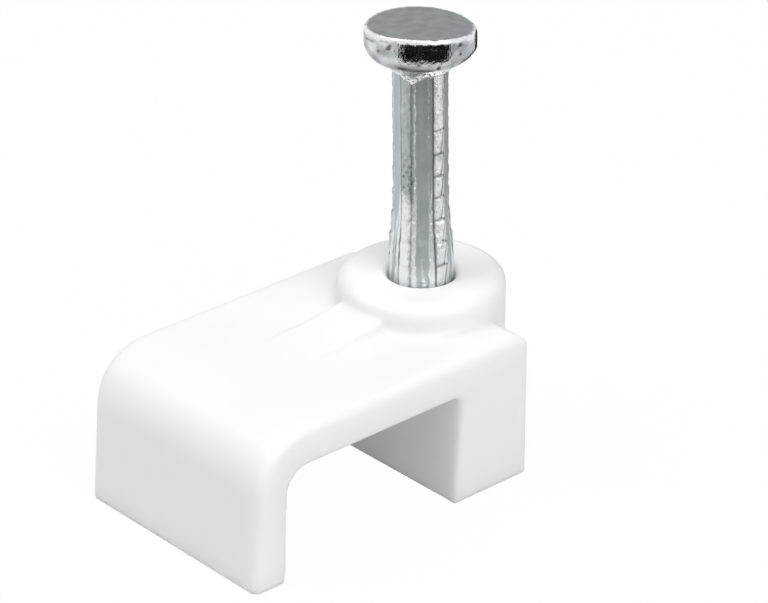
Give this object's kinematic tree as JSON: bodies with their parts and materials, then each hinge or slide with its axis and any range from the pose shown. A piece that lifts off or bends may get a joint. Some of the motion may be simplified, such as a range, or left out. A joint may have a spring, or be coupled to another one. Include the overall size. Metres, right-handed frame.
{
  "type": "nail-in cable clip",
  "caption": "White moulded bridge clip for a flat cable, with a barbed zinc-plated nail standing in its boss, ready to be hammered into a wall.",
  "frame": {"origin": "where the nail's axis meets the wall, in the plane of the two feet", "axes": "+Z out of the wall along the nail, Y along the cable, -X across the cable from the nail to the hook leg"},
  "size_m": [0.0154, 0.0096, 0.017],
  "materials": {
    "clip_plastic": "soft moulded sheen",
    "nail_zinc": "bright zinc plate"
  },
  "bodies": {
    "clip": {"clip_body": "clip_plastic"},
    "nail": {"nail": "nail_zinc"}
  },
  "joints": [
    {"name": "nail_drive", "type": "slide", "parent": "clip", "child": "nail", "axis": [0, 0, -1], "range_m": [0, 0.0086]}
  ]
}
